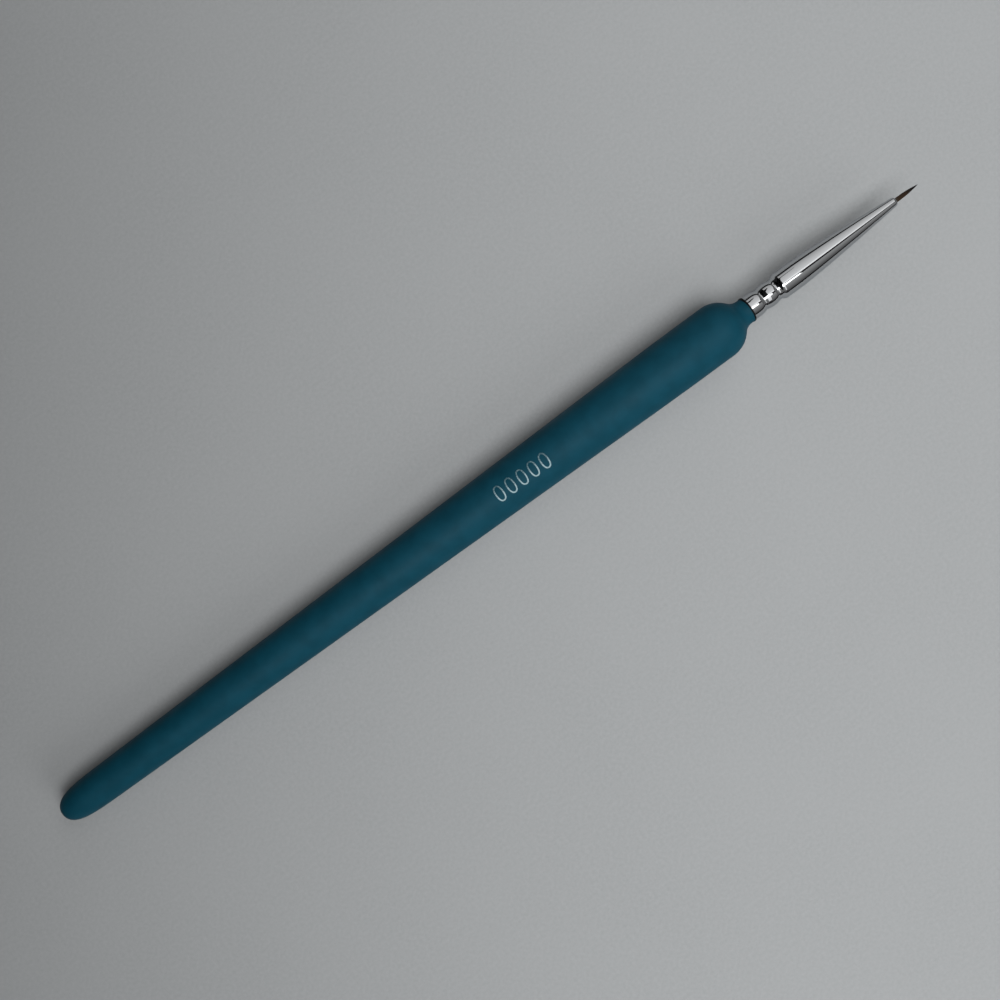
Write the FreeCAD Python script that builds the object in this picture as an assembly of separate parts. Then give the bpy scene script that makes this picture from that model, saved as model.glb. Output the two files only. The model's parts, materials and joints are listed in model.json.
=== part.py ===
"""Fine detail brush, resting on a flat surface with its hair tip towards +X.

Every piece is turned about the brush's own axis. Stations are millimetres along
that axis from the tail end, and radii are millimetres from it. The finished
pieces are then tilted so that the tapered grip lies on the plane z = 0, and are
moved so that the origin is under the middle of the brush.
"""
import FreeCAD, Part
import math
import os
from FreeCAD import Rotation, Vector

# Handle: a blunt round tail, a straight taper, a belly, a round shoulder and a neck.
TAIL_ROUND = 10.0
TAIL_RADIUS = 3.19
TAIL_BLUNTNESS = 0.95
TAIL_PULL = 6.4
TAPER_END = 112.0
TAPER_END_RADIUS = 4.68
BELLY = 133.0
BELLY_RADIUS = 4.90
SHOULDER_START = 138.1
SHOULDER_ROUND = 5.05
SHOULDER_ANGLE = math.radians(45.5)
NECK_FILLET = 2.3
NECK_RADIUS = 2.24
COAT = 0.20

# Rim that the dipped coat leaves where it laps over the end of the ferrule.
RIM_START = 144.0
RIM_CREST = 144.3
RIM_END = 144.65
RIM_RADIUS = 2.32
RIM_ROUND = 0.13
RIM_GAP = 0.04

# Ferrule: a drawn tube with two rolled crimps, a straight seat and a tapered nose.
FERRULE_START = 144.2
WALL = 0.25
START_RADIUS = 2.17
BAND = 145.85
BAND_RADIUS = 2.20
BEAD = 148.7
BEAD_RADIUS = 2.15
CRIMPS = (147.25, 150.0)
GROOVE_RADIUS = 1.92
CREST_PULL = 0.62
GROOVE_PULL = 0.15
SEAT_RISE_PULL = 0.5
SEAT_START = 151.4
SEAT_END = 154.4
SEAT_RADIUS = 2.38
NOSE_END = 174.85
NOSE_RADIUS = 0.83
SEAT_PULL = (3.6, -0.08)
NOSE_PULL = (-8.85, 0.87)
LIP_PULL = (0.25, -0.025)
MOUTH = 175.3
MOUTH_LIP_RADIUS = 0.52
MOUTH_ROUND = 0.16
BORE_RADIUS = 0.45
BORE_LENGTH = 0.6
BORE_CHAMFER = 0.1
CAVITY_END = 173.85
CAVITY_END_RADIUS = 0.67
CAVITY_PULL = (-8.3, 0.82)

# Wooden tenon inside the ferrule, with its glue.
TENON_RADIUS = 1.62
TENON_END = 151.2
TENON_CHAMFER = 0.4

# Hair: glued root in the ferrule, thread tie, glue plug, and the free tuft.
HAIR_RADIUS = 0.405
HAIR_BUTT = 164.5
PLUG = (162.6, 170.0)
TIE_START = 165.4
TIE_TURNS = 10
THREAD_RADIUS = 0.07
PIVOT = MOUTH + 0.22
CUP_RADIUS = BORE_RADIUS
TIP = 180.0
TIP_RADIUS = 0.015
TUFT_PART = 0.25
TUFT_SHRINK = 0.06
TUFT_BULGE = 0.84

# Size mark: a row of plain ovals of thin foil on top of the handle.
MARK_COUNT = 5
MARK_CENTRE = 97.0
MARK_PITCH = 2.30
MARK_WIDTH = 1.56
MARK_HEIGHT = 2.88
MARK_STROKE = 0.23
MARK_THICKNESS = 0.03
MARK_FULLNESS = 0.66
MARK_TURN = -2.4

FULL_TURN = 360.0
TOUCHING = 1e-6
AXIS = Vector(1, 0, 0)
BEYOND = 10.0


def at(station, radius):
    """A point of an outline, in the plane that is turned about the axis."""
    return Vector(station, 0, radius)


def line(start, end):
    return Part.makeLine(start, end)


def bezier(*poles):
    curve = Part.BezierCurve()
    curve.setPoles(list(poles))
    return curve.toShape()


def round_arc(centre, radius, start_angle, end_angle):
    """An arc whose angles are measured from straight out of the axis, towards the tip."""
    middle_angle = (start_angle + end_angle) / 2
    angles = (start_angle, middle_angle, end_angle)
    points = [centre + at(radius * math.sin(a), radius * math.cos(a)) for a in angles]
    return Part.Arc(*points).toShape()


def turned(edges):
    """The solid that an outline, given from one end to the other, makes about the axis."""
    start = edges[0].firstVertex(True).Point
    end = edges[-1].lastVertex(True).Point
    corners = [end, at(end.x, 0), at(start.x, 0), start]
    outline = list(edges)
    for corner, following in zip(corners, corners[1:]):
        if corner.distanceToPoint(following) > TOUCHING:
            outline.append(line(corner, following))
    face = Part.Face(Part.Wire(outline))
    return Part.makeSolid(face.revolve(Vector(), AXIS, FULL_TURN))


def cylinder(start, end, radius):
    return Part.makeCylinder(radius, end - start, at(start, 0), AXIS)


def taper_slope():
    return (TAPER_END_RADIUS - TAIL_RADIUS) / (TAPER_END - TAIL_ROUND)


def shoulder_outline(inset):
    """The round shoulder, a short slant and the fillet into the neck."""
    turn = SHOULDER_ANGLE
    drop = BELLY_RADIUS - NECK_RADIUS - (SHOULDER_ROUND + NECK_FILLET) * (1 - math.cos(turn))
    slant = drop / math.sin(turn)
    reach = (SHOULDER_ROUND + NECK_FILLET) * math.sin(turn) + slant * math.cos(turn)
    shoulder_centre = at(SHOULDER_START, BELLY_RADIUS - SHOULDER_ROUND)
    fillet_centre = at(SHOULDER_START + reach, NECK_RADIUS + NECK_FILLET)
    shoulder = round_arc(shoulder_centre, SHOULDER_ROUND - inset, 0, turn)
    fillet = round_arc(fillet_centre, NECK_FILLET + inset, math.pi + turn, math.pi)
    return [shoulder, line(shoulder.lastVertex(True).Point, fillet.firstVertex(True).Point), fillet]


def handle_outline(inset, end):
    """The handle's outline from the tail to a station of the neck, at a depth under its surface."""
    tail = at(inset, 0)
    taper_start = at(TAIL_ROUND, TAIL_RADIUS - inset)
    taper_end = at(TAPER_END, TAPER_END_RADIUS - inset)
    belly = at(BELLY, BELLY_RADIUS - inset)
    blunt = at(0, TAIL_BLUNTNESS * taper_start.z)
    taper = at(1, taper_slope())
    blend = (BELLY - TAPER_END) / 3
    outline = [
        bezier(tail, tail + blunt, taper_start - taper * TAIL_PULL, taper_start),
        line(taper_start, taper_end),
        bezier(taper_end, taper_end + taper * blend, belly - at(blend, 0), belly),
        line(belly, at(SHOULDER_START, belly.z)),
    ]
    outline += shoulder_outline(inset)
    outline.append(line(outline[-1].lastVertex(True).Point, at(end, NECK_RADIUS - inset)))
    return outline


def handle_core():
    """Turned wooden core with the tenon that the ferrule is crimped onto."""
    step = at(FERRULE_START, TENON_RADIUS)
    corner = at(TENON_END - TENON_CHAMFER, TENON_RADIUS)
    end = at(TENON_END, TENON_RADIUS - TENON_CHAMFER)
    outline = handle_outline(COAT, FERRULE_START)
    outline += [line(at(FERRULE_START, NECK_RADIUS - COAT), step), line(step, corner), line(corner, end)]
    return turned(outline)


def handle_coat():
    """Soft-touch coat dipped over the core, with a rim that laps over the ferrule."""
    start = at(RIM_START, NECK_RADIUS)
    crest = at(RIM_CREST, RIM_RADIUS)
    edge = at(RIM_END, BAND_RADIUS + RIM_GAP)
    level = at(RIM_ROUND, 0)
    outline = handle_outline(0, RIM_START)
    outline.append(bezier(start, start + level, crest - level, crest))
    outline.append(bezier(crest, crest + level, at(RIM_END, RIM_RADIUS), edge))
    solid = turned(outline).cut(turned(handle_outline(COAT, FERRULE_START)))
    return solid.cut(cylinder(FERRULE_START, RIM_END + BEYOND, BAND_RADIUS + RIM_GAP))


def level_bend(start, end, start_pull, end_pull):
    """A curve that leaves and arrives level; the pulls are shares of its length."""
    length = at(end.x - start.x, 0)
    return bezier(start, start + length * start_pull, end - length * end_pull, end)


def crimped_band(inset):
    """The tube's outline over the two crimps, from its tail end to the straight seat."""
    start = at(FERRULE_START, START_RADIUS - inset)
    band = at(BAND, BAND_RADIUS - inset)
    first = at(CRIMPS[0], GROOVE_RADIUS - inset)
    bead = at(BEAD, BEAD_RADIUS - inset)
    second = at(CRIMPS[1], GROOVE_RADIUS - inset)
    seat = at(SEAT_START, SEAT_RADIUS - inset)
    return [
        level_bend(start, band, CREST_PULL, CREST_PULL),
        level_bend(band, first, CREST_PULL, GROOVE_PULL),
        level_bend(first, bead, GROOVE_PULL, CREST_PULL),
        level_bend(bead, second, CREST_PULL, GROOVE_PULL),
        level_bend(second, seat, SEAT_RISE_PULL, SEAT_RISE_PULL),
    ]


def ferrule_cavity():
    """The hollow of the tube, from its open tail end to the bore at the mouth."""
    seat_start, seat_end = at(SEAT_START, SEAT_RADIUS - WALL), at(SEAT_END, SEAT_RADIUS - WALL)
    nose = at(CAVITY_END, CAVITY_END_RADIUS)
    bore = at(MOUTH - BORE_LENGTH, BORE_RADIUS)
    return turned([
        *crimped_band(WALL),
        line(seat_start, seat_end),
        bezier(seat_end, seat_end + at(*SEAT_PULL), nose + at(*CAVITY_PULL), nose),
        line(nose, bore),
        line(bore, at(MOUTH + BEYOND, BORE_RADIUS)),
    ])


def ferrule():
    """Drawn metal tube with two crimps, whose nose is rolled in around the hair."""
    seat_start, seat_end = at(SEAT_START, SEAT_RADIUS), at(SEAT_END, SEAT_RADIUS)
    nose = at(NOSE_END, NOSE_RADIUS)
    lip = at(MOUTH, MOUTH_LIP_RADIUS)
    bore = at(MOUTH - BORE_CHAMFER, BORE_RADIUS)
    solid = turned([
        *crimped_band(0),
        line(seat_start, seat_end),
        bezier(seat_end, seat_end + at(*SEAT_PULL), nose + at(*NOSE_PULL), nose),
        bezier(nose, nose + at(*LIP_PULL), lip + at(0, MOUTH_ROUND), lip),
        line(lip, bore),
    ])
    return solid.cut(ferrule_cavity())


def tenon_glue():
    """Glue that fills the ferrule around the tenon."""
    space = ferrule_cavity().common(cylinder(FERRULE_START, TENON_END - TENON_CHAMFER, BEYOND))
    return space.cut(cylinder(FERRULE_START, TENON_END, TENON_RADIUS))


def hair_root():
    """Glued part of the hair bundle, with a hollow end that the tuft flexes in."""
    bundle = cylinder(HAIR_BUTT, MOUTH, HAIR_RADIUS)
    return bundle.cut(Part.makeSphere(CUP_RADIUS, at(PIVOT, 0)))


def root_binding():
    """Thread tied around the hair bundle, as one sleeve with a ridge for each turn."""
    base = HAIR_RADIUS + THREAD_RADIUS / 2
    outline = []
    for turn in range(TIE_TURNS):
        middle = at(TIE_START + (2 * turn + 1) * THREAD_RADIUS, base)
        outline.append(round_arc(middle, THREAD_RADIUS, -math.pi / 2, math.pi / 2))
    sleeve = turned(outline)
    return sleeve.cut(cylinder(HAIR_BUTT, MOUTH, HAIR_RADIUS))


def root_glue():
    """Plug of glue that holds the hair bundle in the ferrule's nose."""
    plug = ferrule_cavity().common(cylinder(PLUG[0], PLUG[1], BEYOND))
    bundle = cylinder(HAIR_BUTT, MOUTH, HAIR_RADIUS)
    return plug.cut(bundle.fuse(root_binding()))


def hair_tuft():
    """Free hair: a slim bundle that comes to a point, round where it flexes."""
    step = TUFT_PART * (TIP - PIVOT)
    base = at(PIVOT, HAIR_RADIUS)
    taper_start = at(PIVOT + step, HAIR_RADIUS * (1 - TUFT_SHRINK))
    bulge = at(taper_start.x + step, HAIR_RADIUS * TUFT_BULGE)
    return turned([
        round_arc(at(PIVOT, 0), HAIR_RADIUS, -math.pi / 2, 0),
        line(base, taper_start),
        bezier(taper_start, bulge, at(TIP, TIP_RADIUS)),
    ])


def oval(centre, width, height):
    """A flat oval face, a little fuller than an ellipse, with its long axis across the brush."""
    along = Vector(width / 2, 0, 0)
    across = Vector(0, height / 2, 0)
    ends = [along, across, -along, -across]
    quarters = []
    for start, end in zip(ends, ends[1:] + ends[:1]):
        first_pull = start + end * MARK_FULLNESS
        second_pull = end + start * MARK_FULLNESS
        quarters.append(bezier(centre + start, centre + first_pull, centre + second_pull, centre + end))
    return Part.Face(Part.Wire(quarters))


def size_mark():
    """Row of plain foil ovals that hug the handle's surface."""
    over = turned(handle_outline(-MARK_THICKNESS, FERRULE_START))
    foil = over.cut(turned(handle_outline(0, FERRULE_START)))
    rings = []
    for index in range(MARK_COUNT):
        station = MARK_CENTRE + (index - (MARK_COUNT - 1) / 2) * MARK_PITCH
        centre = Vector(station, 0, 0)
        outer = oval(centre, MARK_WIDTH, MARK_HEIGHT)
        inner = oval(centre, MARK_WIDTH - 2 * MARK_STROKE, MARK_HEIGHT - 2 * MARK_STROKE)
        rings.append(foil.common(outer.cut(inner).extrude(Vector(0, 0, BEYOND))))
    mark = Part.makeCompound(rings)
    mark.rotate(Vector(), AXIS, -MARK_TURN)
    return mark


def resting_move(shapes, rotation):
    """The shift that brings the tilted brush onto z = 0 with the origin at its middle."""
    tilted = Part.makeCompound(shapes)
    tilted.rotate(Vector(), rotation.Axis, math.degrees(rotation.Angle))
    box = tilted.optimalBoundingBox(False, False)
    return Vector(-box.Center.x, 0, -box.ZMin)


def main():
    nodes = {
        "handle_core": handle_core(),
        "handle_coat": handle_coat(),
        "size_mark": size_mark(),
        "ferrule": ferrule(),
        "tenon_glue": tenon_glue(),
        "hair_root": hair_root(),
        "root_binding": root_binding(),
        "root_glue": root_glue(),
        "hair_tuft": hair_tuft(),
    }
    rotation = Rotation(Vector(0, 1, 0), -math.degrees(math.atan(taper_slope())))
    move = resting_move([shape.copy() for shape in nodes.values()], rotation)
    placement = FreeCAD.Placement(move, rotation)
    os.makedirs("parts", exist_ok=True)
    for name, shape in nodes.items():
        shape.Placement = placement.multiply(shape.Placement)
        shape.exportStep(os.path.join("parts", name + ".step"))
        state = "valid" if shape.isValid() else "INVALID"
        print(name, len(shape.Solids), "solids,", state, round(shape.Volume, 4), "mm3")
    print("axis of the brush", placement.Rotation.multVec(AXIS))
    print("hair pivot", placement.multVec(at(PIVOT, 0)))
    print("middle of the seat", placement.multVec(at((SEAT_START + SEAT_END) / 2, 0)))


main()
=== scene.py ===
"""Looks of a fine detail brush that lies on a pale surface, seen from straight above.

Lengths of the brush are millimetres along its own axis from the tail end, and radii
are millimetres from that axis, as in the CAD model. place() turns them into metres.
"""
import json
import math
import random

import bpy
import numpy as np
from mathutils import Matrix, Vector


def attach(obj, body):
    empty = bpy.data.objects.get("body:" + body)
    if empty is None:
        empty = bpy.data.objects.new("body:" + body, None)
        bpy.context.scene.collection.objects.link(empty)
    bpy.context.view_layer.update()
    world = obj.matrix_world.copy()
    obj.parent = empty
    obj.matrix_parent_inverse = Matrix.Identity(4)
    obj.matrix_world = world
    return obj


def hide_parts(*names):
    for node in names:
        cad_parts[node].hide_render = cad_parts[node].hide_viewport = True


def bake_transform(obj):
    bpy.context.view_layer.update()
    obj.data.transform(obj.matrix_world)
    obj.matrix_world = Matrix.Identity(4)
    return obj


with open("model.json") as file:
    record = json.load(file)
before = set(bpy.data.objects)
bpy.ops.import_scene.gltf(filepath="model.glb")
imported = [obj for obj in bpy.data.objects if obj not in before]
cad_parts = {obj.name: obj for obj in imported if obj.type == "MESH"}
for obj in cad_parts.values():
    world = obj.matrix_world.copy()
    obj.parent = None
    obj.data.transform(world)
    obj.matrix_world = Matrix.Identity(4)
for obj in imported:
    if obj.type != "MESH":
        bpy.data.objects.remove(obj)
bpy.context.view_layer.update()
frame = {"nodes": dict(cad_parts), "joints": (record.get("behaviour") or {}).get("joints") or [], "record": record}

MM = 0.001

# Handle coat.
TAIL_ROUND = 10.0
TAIL_RADIUS = 3.19
TAIL_BLUNTNESS = 0.95
TAIL_PULL = 6.4
TAPER_END = 112.0
TAPER_END_RADIUS = 4.68
BELLY = 133.0
BELLY_RADIUS = 4.90
SHOULDER_START = 138.1
SHOULDER_ROUND = 5.05
SHOULDER_ANGLE = math.radians(45.5)
NECK_FILLET = 2.3
NECK_RADIUS = 2.24
COAT = 0.20
RIM_START = 144.0
RIM_CREST = 144.3
RIM_END = 144.65
RIM_RADIUS = 2.32
RIM_ROUND = 0.13
RIM_GAP = 0.04
COAT_SIDES = 192

# Painted shade on the coat's rim, where it meets the ferrule: its width, how much wider it is on the +Y side, and
# its fade.
RIM_PAINTED_SHADE = 0.36
RIM_PAINTED_SHADE_EXTRA = 0.22
RIM_PAINTED_SHADE_FADE = 0.08

# Ferrule.
FERRULE_START = 144.2
WALL = 0.25
START_RADIUS = 2.17
BAND = 145.85
BAND_RADIUS = 2.20
BEAD = 148.7
BEAD_RADIUS = 2.15
CRIMPS = (147.25, 150.0)
GROOVE_RADIUS = 1.92
CREST_PULL = 0.62
GROOVE_PULL = 0.15
SEAT_RISE_PULL = 0.5
SEAT_START = 151.4
SEAT_END = 154.4
SEAT_RADIUS = 2.38
NOSE_END = 174.85
NOSE_RADIUS = 0.83
SEAT_PULL = (3.6, -0.08)
NOSE_PULL = (-8.85, 0.87)
LIP_PULL = (0.25, -0.025)
MOUTH = 175.3
MOUTH_LIP_RADIUS = 0.52
MOUTH_ROUND = 0.16
BORE_RADIUS = 0.45
BORE_LENGTH = 0.6
BORE_CHAMFER = 0.1
CAVITY_END = 173.85
CAVITY_END_RADIUS = 0.67
CAVITY_PULL = (-8.3, 0.82)
FERRULE_SIDES = 160

# Hair. Each hair thins towards its end, and part of its thickness follows the bundle's taper.
HAIR_RADIUS = 0.405
HAIR_BUTT = 164.5
PIVOT = MOUTH + 0.22
TIP = 180.0
TUFT_PART = 0.25
TUFT_SHRINK = 0.06
TUFT_POINT = 1.9
STRANDS = 150
STRAND_RADIUS = 0.036
STRAND_THINNING = 0.50
STRAND_FOLLOWS = 0.60
STRAND_SHORTER = 0.03
STRAND_LEAN = 0.10
STRAND_SIDES = 6

# Rings of one hair: those of its hidden root are this far behind the mouth, and those of
# its free part lie a little closer together near its end.
HIDDEN_RINGS = (4.0, 0.8, 0.6, 0.4, 0.2)
HAIR_RINGS = 30
RING_CROWDING = 0.9

# The camera looks straight down, from about 19 cm above the surface.
CAMERA_HEIGHT = 193.95 * MM
CAMERA_OVER = Vector((1.73 * MM, -1.08 * MM, 0))
FOCAL_OVER_WIDTH = 1.117
SENSOR_WIDTH = 36.0
CLIP_START = 5 * MM
BRUSH_TURN = math.radians(36.38)

# Cards of light that the polished metal mirrors stand this far from the brush, in metres.
CARD_AWAY = 0.5

# The floor, in metres.
FLOOR_REACH = 3.0
FLOOR_GAP = 0.01 * MM

FULL_TURN = 2 * math.pi
GOLDEN_TURN = FULL_TURN * (3 - math.sqrt(5)) / 2
ON_AXIS = 1e-9

# The brush's own axis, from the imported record.
AXIS = Vector(next(m for m in frame["record"]["mounts"] if m["name"] == "cap_seat")["axis"]).normalized()
ACROSS = Vector((0, 1, 0))
UP = AXIS.cross(ACROSS)
TAIL = Vector(frame["joints"][0]["pos_m"]) - AXIS * PIVOT * MM


def place(station, radius, turn):
    """A point in metres; turn is the angle from straight up, towards +Y."""
    return TAIL + (AXIS * station + (UP * math.cos(turn) + ACROSS * math.sin(turn)) * radius) * MM


# Outlines: lists of (station, radius). A count or a fineness sets how many steps a curve has.

def spread(count):
    """Evenly spaced shares from 0 up to, but not including, 1."""
    return [index / count for index in range(count)]


def line(start, end, count):
    return [tuple(a + (b - a) * t for a, b in zip(start, end)) for t in spread(count)]


def bezier(start, start_pull, end_pull, end, count):
    """A cubic curve whose two inner poles are given as offsets from its ends."""
    poles = [start, np.add(start, start_pull), np.add(end, end_pull), end]
    points = []
    for t in spread(count):
        weights = ((1 - t) ** 3, 3 * t * (1 - t) ** 2, 3 * t * t * (1 - t), t ** 3)
        points.append(tuple(sum(w * np.array(p) for w, p in zip(weights, poles))))
    return points


def round_arc(centre, radius, start_angle, end_angle, count):
    """Angles are measured from straight out of the axis, towards the tip."""
    angles = [start_angle + (end_angle - start_angle) * t for t in spread(count)]
    return [(centre[0] + radius * math.sin(a), centre[1] + radius * math.cos(a)) for a in angles]


def level_bend(start, end, start_pull, end_pull, count):
    """A curve that leaves and arrives level; the pulls are shares of its length."""
    length = end[0] - start[0]
    return bezier(start, (length * start_pull, 0), (-length * end_pull, 0), end, count)


TAPER_SLOPE = (TAPER_END_RADIUS - TAIL_RADIUS) / (TAPER_END - TAIL_ROUND)


def shoulder_outline(inset, fineness):
    """The round shoulder, a short slant and the fillet into the neck."""
    turn = SHOULDER_ANGLE
    drop = BELLY_RADIUS - NECK_RADIUS - (SHOULDER_ROUND + NECK_FILLET) * (1 - math.cos(turn))
    slant = drop / math.sin(turn)
    reach = (SHOULDER_ROUND + NECK_FILLET) * math.sin(turn) + slant * math.cos(turn)
    shoulder_centre = (SHOULDER_START, BELLY_RADIUS - SHOULDER_ROUND)
    fillet_centre = (SHOULDER_START + reach, NECK_RADIUS + NECK_FILLET)
    points = round_arc(shoulder_centre, SHOULDER_ROUND - inset, 0, turn, 4 * fineness)
    last = round_arc(shoulder_centre, SHOULDER_ROUND - inset, turn, turn, 1)[0]
    fillet = round_arc(fillet_centre, NECK_FILLET + inset, math.pi + turn, math.pi, 2 * fineness)
    return points + line(last, fillet[0], fineness) + fillet + [(fillet_centre[0], NECK_RADIUS - inset)]


def handle_outline(inset, fineness):
    """The handle from the tail to the end of the neck's fillet, at a depth under its surface."""
    taper_start = (TAIL_ROUND, TAIL_RADIUS - inset)
    taper_end = (TAPER_END, TAPER_END_RADIUS - inset)
    belly = (BELLY, BELLY_RADIUS - inset)
    blend = (BELLY - TAPER_END) / 3
    blunt = (0, TAIL_BLUNTNESS * taper_start[1])
    points = bezier((inset, 0), blunt, (-TAIL_PULL, -TAIL_PULL * TAPER_SLOPE), taper_start, 4 * fineness)
    points += line(taper_start, taper_end, 8 * fineness)
    points += bezier(taper_end, (blend, blend * TAPER_SLOPE), (-blend, 0), belly, 2 * fineness)
    points += line(belly, (SHOULDER_START, belly[1]), fineness)
    return points + shoulder_outline(inset, fineness)


def coat_outline():
    """The dipped coat as a closed shell, with its rim lapped over the ferrule."""
    start, crest = (RIM_START, NECK_RADIUS), (RIM_CREST, RIM_RADIUS)
    edge = (RIM_END, BAND_RADIUS + RIM_GAP)
    outer = handle_outline(0, 6)
    rim = bezier(start, (RIM_ROUND, 0), (-RIM_ROUND, 0), crest, 8)
    rim += bezier(crest, (RIM_ROUND, 0), (0, RIM_RADIUS - edge[1]), edge, 10)
    step = line(edge, (FERRULE_START, edge[1]), 3)
    step += line((FERRULE_START, edge[1]), (FERRULE_START, NECK_RADIUS - COAT), 2)
    return outer + rim + step + [(FERRULE_START, NECK_RADIUS - COAT)] + handle_outline(COAT, 3)[::-1]


def crimped_outline(inset, count):
    """The tube over its two crimps, up to the straight seat, at a depth under its surface."""
    start, band = (FERRULE_START, START_RADIUS - inset), (BAND, BAND_RADIUS - inset)
    first, second = [(station, GROOVE_RADIUS - inset) for station in CRIMPS]
    bead, seat = (BEAD, BEAD_RADIUS - inset), (SEAT_START, SEAT_RADIUS - inset)
    points = level_bend(start, band, CREST_PULL, CREST_PULL, count)
    points += level_bend(band, first, CREST_PULL, GROOVE_PULL, count)
    points += level_bend(first, bead, GROOVE_PULL, CREST_PULL, count)
    points += level_bend(bead, second, CREST_PULL, GROOVE_PULL, count)
    return points + level_bend(second, seat, SEAT_RISE_PULL, SEAT_RISE_PULL, count)


def ferrule_outline():
    """The drawn tube with its wall: out along its outside, and back along its inside."""
    seat_start, seat_end = (SEAT_START, SEAT_RADIUS), (SEAT_END, SEAT_RADIUS)
    nose, lip = (NOSE_END, NOSE_RADIUS), (MOUTH, MOUTH_LIP_RADIUS)
    rim, bore = (MOUTH - BORE_CHAMFER, BORE_RADIUS), (MOUTH - BORE_LENGTH, BORE_RADIUS)
    outside = crimped_outline(0, 18) + line(seat_start, seat_end, 8)
    outside += bezier(seat_end, SEAT_PULL, NOSE_PULL, nose, 48)
    outside += bezier(nose, LIP_PULL, (0, MOUTH_ROUND), lip, 10)
    outside += line(lip, rim, 2) + line(rim, bore, 3)
    hollow_end = (CAVITY_END, CAVITY_END_RADIUS)
    inner_start, inner_end = (SEAT_START, SEAT_RADIUS - WALL), (SEAT_END, SEAT_RADIUS - WALL)
    inside = crimped_outline(WALL, 6) + line(inner_start, inner_end, 3)
    inside += bezier(inner_end, SEAT_PULL, CAVITY_PULL, hollow_end, 16) + [hollow_end]
    return outside + [bore] + inside[::-1]


# Meshes.

def new_object(name, vertices, faces, material, smooth=True):
    mesh = bpy.data.meshes.new(name)
    mesh.from_pydata([tuple(v) for v in vertices], [], faces)
    mesh.polygons.foreach_set("use_smooth", [smooth] * len(mesh.polygons))
    mesh.materials.append(material)
    mesh.validate()
    mesh.update()
    made = bpy.data.objects.new(name, mesh)
    bpy.context.scene.collection.objects.link(made)
    return made


def tube_faces(first, rings, sides):
    """Quads between rings of vertices, the first of which is given, and a cap at each end."""
    faces = []
    for ring in range(rings - 1):
        here, there = first + ring * sides, first + (ring + 1) * sides
        for side in range(sides):
            following = (side + 1) % sides
            faces.append((here + side, here + following, there + following, there + side))
    last = first + (rings - 1) * sides
    faces.append(tuple(first + side for side in reversed(range(sides))))
    faces.append(tuple(last + side for side in range(sides)))
    return faces


def ring_size(radius, sides):
    """How many vertices an outline's point makes: one if it lies on the axis."""
    return 1 if radius < ON_AXIS else sides


def lathe(name, outline, sides, material):
    """Turns an outline about the brush's axis: a closed one, or one with both ends on it."""
    vertices = []
    rings = []
    for station, radius in outline:
        ring = []
        for side in range(ring_size(radius, sides)):
            ring.append(len(vertices))
            vertices.append(place(station, radius, FULL_TURN * side / sides))
        rings.append(ring)
    faces = []
    closed = len(rings[0]) > 1
    for here, there in zip(rings, rings[1:] + (rings[:1] if closed else [])):
        for side in range(sides):
            following = (side + 1) % sides
            if len(here) == 1:
                faces.append((here[0], there[following], there[side]))
            elif len(there) == 1:
                faces.append((here[side], here[following], there[0]))
            else:
                faces.append((here[side], here[following], there[following], there[side]))
    return new_object(name, vertices, faces, material)


# Node helpers.

MIX_FACTOR, MIX_FIRST, MIX_SECOND, MIX_RESULT = 0, 6, 7, 2


def new_material(name):
    """A material, with its node tree and its shader."""
    material = bpy.data.materials.new(name)
    material.use_nodes = True
    tree = material.node_tree
    return material, tree, tree.nodes["Principled BSDF"]


def add_node(tree, kind, inputs=(), **settings):
    """A shader node; each input is a number, a colour, or another node's socket to link."""
    node = tree.nodes.new("ShaderNode" + kind)
    for name, value in settings.items():
        setattr(node, name, value)
    for name, value in dict(inputs).items():
        if isinstance(value, bpy.types.NodeSocket):
            tree.links.new(value, node.inputs[name])
        else:
            node.inputs[name].default_value = value
    return node


def brush_millimetres(tree, stretch=(1, 1, 1)):
    """The object's own coordinates in millimetres, so that a noise scale is in repeats per mm."""
    own = add_node(tree, "TexCoord").outputs["Object"]
    scale = tuple(s / MM for s in stretch)
    return add_node(tree, "Mapping", {"Vector": own, "Scale": scale}).outputs["Vector"]


def noise_value(tree, vector, scale, detail=2.0, roughness=0.5):
    inputs = {"Vector": vector, "Scale": scale, "Detail": detail, "Roughness": roughness}
    return add_node(tree, "TexNoise", inputs).outputs["Fac"]


def remap(tree, value, source, target=(0, 1)):
    """Stretches the range between the two source values onto the two target values."""
    names = ("From Min", "From Max", "To Min", "To Max")
    inputs = dict(zip(names, (*source, *target)))
    return add_node(tree, "MapRange", {"Value": value, **inputs}).outputs["Result"]


def mix_colours(tree, factor, first, second):
    """A colour between two others; a Mix node's sockets share names, so numbers pick them."""
    mixed = {MIX_FACTOR: factor, MIX_FIRST: first, MIX_SECOND: second}
    return add_node(tree, "Mix", mixed, data_type="RGBA").outputs[MIX_RESULT]


def bump(tree, shader, height, distance, strength=1.0):
    inputs = {"Height": height, "Distance": distance, "Strength": strength}
    tree.links.new(add_node(tree, "Bump", inputs).outputs["Normal"], shader.inputs["Normal"])


# Materials.

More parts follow.
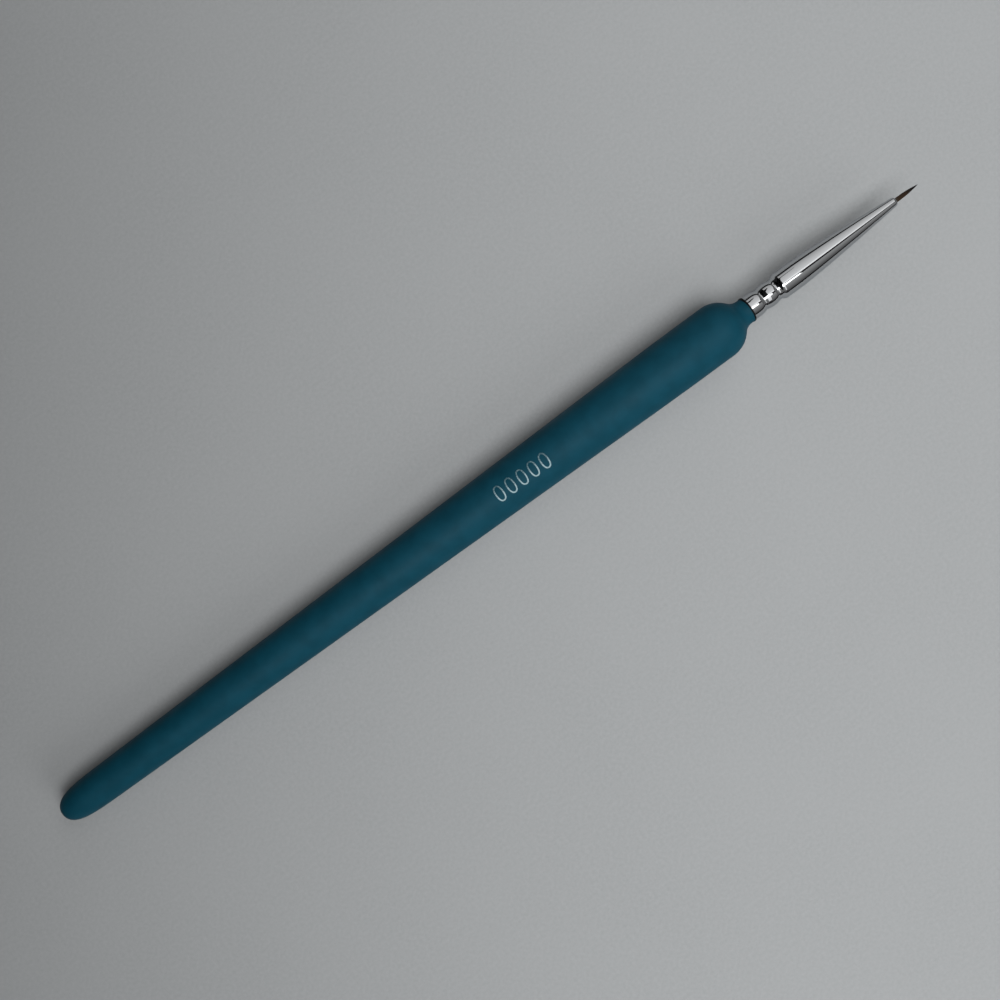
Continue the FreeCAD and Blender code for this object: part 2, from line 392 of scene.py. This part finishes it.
def soft_coat():
    """Matte teal soft-touch lacquer: faint mottling, fine grain and rubbed, smoother patches."""
    material, tree, shader = new_material("soft_touch_coat")
    mm = brush_millimetres(tree)
    mottle = noise_value(tree, mm, scale=0.35, detail=4.0)
    deep, light = (0.0036, 0.055, 0.086, 1), (0.0050, 0.066, 0.103, 1)
    painted_shade_black = (0.002, 0.003, 0.003, 1)
    colour = mix_colours(tree, remap(tree, mottle, (0.35, 0.65)), deep, light)
    # Painted shade: the rim darkens nearly to black where the coat meets the ferrule, most on the +Y side, away
    # from the light.
    painted_rim_shade = add_node(tree, "Attribute", attribute_name="painted_rim_shade").outputs["Fac"]
    colour = mix_colours(tree, painted_rim_shade, colour, painted_shade_black)
    tree.links.new(colour, shader.inputs["Base Color"])
    patches = noise_value(tree, mm, scale=0.12, detail=3.0)
    roughness = remap(tree, patches, (0.4, 0.7), (0.60, 0.50))
    tree.links.new(roughness, shader.inputs["Roughness"])
    shader.inputs["Specular IOR Level"].default_value = 0.10
    grain = noise_value(tree, mm, scale=9.0, detail=3.0, roughness=0.6)
    bump(tree, shader, grain, distance=0.004 * MM, strength=0.6)
    return material


def chrome():
    """Polished nickel plate over a drawn tube: faint turning lines and smudges."""
    material, tree, shader = new_material("nickel_plate")
    shader.inputs["Base Color"].default_value = (0.52, 0.53, 0.54, 1)
    shader.inputs["Metallic"].default_value = 1.0
    shader.inputs["Specular Tint"].default_value = (0.62, 0.64, 0.66, 1)
    smudges = noise_value(tree, brush_millimetres(tree), scale=0.8, detail=4.0)
    roughness = remap(tree, smudges, (0.35, 0.75), (0.03, 0.07))
    tree.links.new(roughness, shader.inputs["Roughness"])
    round_the_tube = brush_millimetres(tree, (6.0, 0.15, 0.15))
    lines = noise_value(tree, round_the_tube, scale=2.0)
    bump(tree, shader, lines, distance=0.0002 * MM, strength=0.5)
    return material


def foil():
    """Thin pale silver foil, patchy with wear, and darker on its +Y side, away from the light, with painted shade.
    """
    material, tree, shader = new_material("stamped_foil")
    mm = brush_millimetres(tree)
    patchy = noise_value(tree, mm, scale=5.0, detail=4.0, roughness=0.7)
    worn_and_shaded, bright = (0.020, 0.085, 0.115, 1), (0.26, 0.40, 0.44, 1)
    across = add_node(tree, "SeparateXYZ", {"Vector": mm}).outputs["Y"]
    # Painted shade: the foil gets darker towards the +Y side, away from the light; the patchy noise is its wear.
    painted_shade_across = remap(tree, across, (-1.4, 1.6), (0.10, -0.12))
    wear_and_shade = add_node(tree, "Math", {0: patchy, 1: painted_shade_across}, operation="ADD").outputs[0]
    colour = mix_colours(tree, remap(tree, wear_and_shade, (0.34, 0.56)), worn_and_shaded, bright)
    tree.links.new(colour, shader.inputs["Base Color"])
    shader.inputs["Metallic"].default_value = 0.1
    shader.inputs["Roughness"].default_value = 0.4
    bump(tree, shader, patchy, distance=0.004 * MM)
    return material


def hair():
    """Smooth hair: grey-brown where it leaves the metal, red-brown, then a dark tip."""
    material, tree, shader = new_material("hair")
    along = add_node(tree, "Attribute", attribute_name="along").outputs["Fac"]
    strand = add_node(tree, "Attribute", attribute_name="strand").outputs["Fac"]
    ramp = add_node(tree, "ValToRGB", {"Fac": along})
    stops = [
        (0.0, (0.055, 0.045, 0.035)),
        (0.12, (0.036, 0.018, 0.008)),
        (0.42, (0.030, 0.015, 0.007)),
        (0.68, (0.008, 0.006, 0.005)),
        (1.0, (0.004, 0.004, 0.004)),
    ]
    elements = ramp.color_ramp.elements
    while len(elements) < len(stops):
        elements.new(0.5)
    for element, (position, shade) in zip(elements, stops):
        element.position = position
        element.color = (*shade, 1)
    own_shade = {"Color": ramp.outputs["Color"], "Value": remap(tree, strand, (0, 1), (0.6, 1.5))}
    colour = add_node(tree, "HueSaturation", own_shade).outputs["Color"]
    tree.links.new(colour, shader.inputs["Base Color"])
    shader.inputs["Roughness"].default_value = 0.5
    shader.inputs["Specular IOR Level"].default_value = 0.25
    return material


def wood():
    """Bare turned hardwood, with its grain along the brush."""
    material, tree, shader = new_material("turned_wood")
    along_the_grain = brush_millimetres(tree, (0.08, 1, 1))
    grain = noise_value(tree, along_the_grain, scale=2.2, detail=6.0, roughness=0.62)
    dark, light = (0.36, 0.22, 0.11, 1), (0.66, 0.48, 0.29, 1)
    colour = mix_colours(tree, remap(tree, grain, (0.35, 0.65)), dark, light)
    tree.links.new(colour, shader.inputs["Base Color"])
    shader.inputs["Roughness"].default_value = 0.6
    bump(tree, shader, grain, distance=0.02 * MM)
    return material


def glue():
    """Hard amber glue, a little cloudy."""
    material, tree, shader = new_material("amber_glue")
    cloud = noise_value(tree, brush_millimetres(tree), scale=1.5, detail=3.0)
    clear, cloudy = (0.55, 0.38, 0.12, 1), (0.78, 0.64, 0.36, 1)
    colour = mix_colours(tree, cloud, clear, cloudy)
    tree.links.new(colour, shader.inputs["Base Color"])
    shader.inputs["Roughness"].default_value = 0.15
    bump(tree, shader, cloud, distance=0.02 * MM)
    return material


def thread():
    """Off-white thread with fine fibres."""
    material, tree, shader = new_material("tying_thread")
    fine_across = brush_millimetres(tree, (1, 3, 3))
    fibres = noise_value(tree, fine_across, scale=12.0, detail=4.0, roughness=0.7)
    shade, light = (0.45, 0.42, 0.36, 1), (0.78, 0.75, 0.68, 1)
    colour = mix_colours(tree, remap(tree, fibres, (0.35, 0.65)), shade, light)
    tree.links.new(colour, shader.inputs["Base Color"])
    shader.inputs["Roughness"].default_value = 0.8
    bump(tree, shader, fibres, distance=0.01 * MM)
    return material


def pale_surface():
    """Pale grey painted board with a fine grain."""
    material, tree, shader = new_material("pale_surface")
    mm = brush_millimetres(tree)
    grain = noise_value(tree, mm, scale=1.6, detail=5.0, roughness=0.7)
    cloud = noise_value(tree, mm, scale=0.03, detail=3.0)
    low, high = (0.400, 0.414, 0.421, 1), (0.464, 0.478, 0.485, 1)
    fine = mix_colours(tree, remap(tree, grain, (0.3, 0.7)), low, high)
    colour = mix_colours(tree, remap(tree, cloud, (0.3, 0.7), (0, 0.35)), fine, high)
    tree.links.new(colour, shader.inputs["Base Color"])
    shader.inputs["Roughness"].default_value = 0.75
    shader.inputs["Specular IOR Level"].default_value = 0.2
    bump(tree, shader, grain, distance=0.02 * MM, strength=0.4)
    return material


# Pieces.

def rim_shade(station, turn):
    """How much painted shade darkens the coat's rim where it meets the ferrule; the shade is broadest on the +Y
    side, away from the light.
    """
    start = RIM_END - RIM_PAINTED_SHADE - RIM_PAINTED_SHADE_EXTRA * max(0.0, math.sin(turn)) ** 2
    return min(1.0, max(0.0, (station - start) / RIM_PAINTED_SHADE_FADE))


def make_coat(material):
    outline = coat_outline()
    coat = lathe("soft_touch_coat", outline, COAT_SIDES, material)
    # The rim's painted shade is stored on the vertices, for the coat's material to read.
    shades = []
    for station, radius in outline:
        sides = ring_size(radius, COAT_SIDES)
        shades += [rim_shade(station, FULL_TURN * side / sides) for side in range(sides)]
    coat.data.attributes.new("painted_rim_shade", "FLOAT", "POINT").data.foreach_set("value", shades)
    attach(coat, "handle")
    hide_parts("handle_coat")


def make_ferrule(material):
    tube = lathe("crimped_ferrule", ferrule_outline(), FERRULE_SIDES, material)
    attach(tube, "handle")
    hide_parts("ferrule")


def tuft_radius(share):
    """Share of the bundle's radius left at a share of the free length."""
    if share < TUFT_PART:
        return 1 - TUFT_SHRINK * share / TUFT_PART
    return (1 - TUFT_SHRINK) * (1 - ((share - TUFT_PART) / (1 - TUFT_PART)) ** TUFT_POINT)


def strand_rings(length):
    """Stations of the rings of one hair, from its hidden root to its end."""
    stations = [HAIR_BUTT] + [MOUTH - back for back in HIDDEN_RINGS]
    for ring in range(HAIR_RINGS + 1):
        stations.append(MOUTH + length * (ring / HAIR_RINGS) ** RING_CROWDING)
    return stations


def make_hair(material):
    """Separate tapered hairs, packed in a bundle, that close to a point."""
    random.seed(7)
    free = TIP - MOUTH
    vertices, faces, along, strand_ids = [], [], [], []
    for index in range(STRANDS):
        outness = math.sqrt((index + 0.5) / STRANDS)
        home = outness * (HAIR_RADIUS - STRAND_RADIUS / 2)
        turn = index * GOLDEN_TURN
        length = free * (1 - random.uniform(0.0, STRAND_SHORTER) * outness)
        lean = random.uniform(-STRAND_LEAN, STRAND_LEAN)
        identity = random.random()
        stations = strand_rings(length)
        faces += tube_faces(len(vertices), len(stations), STRAND_SIDES)
        for station in stations:
            share = max(0.0, (station - MOUTH) / free)
            own = max(0.0, (station - MOUTH) / length)
            bundle = tuft_radius(share)
            angle = turn + lean * share
            centre_up, centre_across = home * bundle * math.cos(angle), home * bundle * math.sin(angle)
            thick = STRAND_RADIUS * (1 - STRAND_THINNING * own ** 3)
            thick *= 1 - STRAND_FOLLOWS + STRAND_FOLLOWS * bundle
            for side in range(STRAND_SIDES):
                around = FULL_TURN * side / STRAND_SIDES
                offset = UP * (centre_up + thick * math.cos(around))
                offset += ACROSS * (centre_across + thick * math.sin(around))
                vertices.append(TAIL + (AXIS * station + offset) * MM)
                along.append(share)
                strand_ids.append(identity)
    tuft = new_object("hair_bundle", vertices, faces, material)
    for name, values in (("along", along), ("strand", strand_ids)):
        attribute = tuft.data.attributes.new(name, "FLOAT", "POINT")
        attribute.data.foreach_set("value", values)
    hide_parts("hair_tuft", "hair_root")
    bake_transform(tuft)


def add_camera():
    """The camera looks straight down, turned so that the brush runs up to the right."""
    data = bpy.data.cameras.new("photo_camera")
    data.sensor_width = SENSOR_WIDTH
    data.lens = SENSOR_WIDTH * FOCAL_OVER_WIDTH
    data.clip_start = CLIP_START
    camera = bpy.data.objects.new("photo_camera", data)
    camera.location = CAMERA_OVER + Vector((0, 0, CAMERA_HEIGHT))
    camera.rotation_euler = (0, 0, -BRUSH_TURN)
    bpy.context.scene.collection.objects.link(camera)
    bpy.context.scene.camera = camera


def beside(along, across, height):
    """A point in metres: along the brush from its middle, to its +Y side, and up."""
    return Vector((along, across, height))


def soft_box(name, location, size, power):
    """An oval soft light that is aimed at the brush; size is its length along it and its width."""
    data = bpy.data.lights.new(name, "AREA")
    data.shape = "ELLIPSE"
    data.size, data.size_y = size
    data.energy = power
    toward = -location.normalized()
    side = Vector((1, 0, 0)).cross(toward).normalized()
    along = toward.cross(side)
    light = bpy.data.objects.new(name, data)
    light.location = location
    light.rotation_euler = Matrix((along, side, along.cross(side))).transposed().to_euler()
    bpy.context.scene.collection.objects.link(light)
    return light


def shade_card(edge, height, reach):
    """A dark card high over the tail's side, which takes part of the light from there."""
    outline = ((edge - reach, -reach), (edge, -reach), (edge, reach), (edge - reach, reach))
    corners = [beside(along, across, height) for along, across in outline]
    material, tree, shader = new_material("black_card")
    shader.inputs["Base Color"].default_value = (0.02, 0.02, 0.02, 1)
    card = new_object("shade_card", corners, [(0, 1, 2, 3)], material, smooth=False)
    card.rotation_euler.z = -BRUSH_TURN
    card.visible_camera = False


def lit_card(name, along, angles, glows, lights=True):
    """A dim glowing card beside the brush, which the polished metal mirrors.

    It runs along the brush between two places, and across it between two angles in
    degrees from straight up, towards +Y; glows are its brightness at those two angles.
    Without lights it is only seen in the metal.
    """
    corners, brightness = [], []
    for degrees, glow, places in zip(angles, glows, (along, along[::-1])):
        angle = math.radians(degrees)
        for place_along in places:
            corners.append(beside(place_along, CARD_AWAY * math.sin(angle), CARD_AWAY * math.cos(angle)))
            brightness.append(glow)
    material = bpy.data.materials.new(name)
    material.use_nodes = True
    tree = material.node_tree
    tree.nodes.remove(tree.nodes["Principled BSDF"])
    glow = add_node(tree, "Attribute", attribute_name="glow").outputs["Fac"]
    emission = add_node(tree, "Emission", {"Strength": glow})
    tree.links.new(emission.outputs["Emission"], tree.nodes["Material Output"].inputs["Surface"])
    card = new_object(name, corners, [(0, 1, 2, 3)], material, smooth=False)
    attribute = card.data.attributes.new("glow", "FLOAT", "POINT")
    attribute.data.foreach_set("value", brightness)
    card.visible_camera = False
    card.visible_shadow = False
    card.visible_diffuse = lights


def add_lights():
    """Two soft lights, the cards that the metal mirrors, and the dark card over the tail."""
    soft_box("key", beside(-0.06, -0.33, 0.88), size=(0.96, 0.56), power=6.0)
    fill = soft_box("fill", beside(0.10, -0.85, 0.45), size=(0.6, 0.6), power=2.4)
    fill.visible_glossy = False
    lit_card("lamp", along=(0.07, 0.50), angles=(-6, 4), glows=(1.7, 1.3))
    lit_card("window", along=(0.07, 0.50), angles=(4, 73), glows=(1.05, 0.50))
    lit_card("wall", along=(0.12, 0.50), angles=(-21, -76), glows=(0.46, 0.08))
    lit_card("far_wall", along=(0.50, 2.0), angles=(-76, -10), glows=(0.2, 0.2), lights=False)
    lit_card("far_ceiling", along=(0.50, 2.0), angles=(-10, 73), glows=(0.2, 0.2), lights=False)
    lit_card("low_window", along=(-0.02, 0.12), angles=(-21, -62), glows=(1.6, 0.9), lights=False)
    lit_card("tail_wall", along=(-0.60, -0.02), angles=(-24, -76), glows=(0.35, 0.15), lights=False)
    shade_card(edge=-0.035, height=0.25, reach=0.5)


def add_world():
    """The faint light of the room, and plain colours without a film look."""
    world = bpy.data.worlds.new("studio")
    world.use_nodes = True
    background = world.node_tree.nodes["Background"]
    background.inputs["Color"].default_value = (0.95, 0.98, 1.0, 1)
    background.inputs["Strength"].default_value = 0.02
    bpy.context.scene.world = world
    bpy.context.scene.view_settings.view_transform = "Standard"


def add_floor():
    """The pale surface, a hair's breadth under the brush."""
    half = FLOOR_REACH
    corners = [(-half, -half, 0), (half, -half, 0), (half, half, 0), (-half, half, 0)]
    floor = new_object("floor", corners, [(0, 1, 2, 3)], pale_surface(), smooth=False)
    floor.location.z = -FLOOR_GAP


def paint_nodes():
    """Materials of the CAD pieces that are shown as they are."""
    glue_material = glue()
    looks = {
        "handle_core": wood(),
        "size_mark": foil(),
        "tenon_glue": glue_material,
        "root_glue": glue_material,
        "root_binding": thread(),
    }
    for name, material in looks.items():
        for material_slot in frame["nodes"][name].material_slots:
            material_slot.material = material


add_camera()
add_lights()
add_world()
add_floor()
paint_nodes()
make_coat(soft_coat())
make_ferrule(chrome())
make_hair(hair())
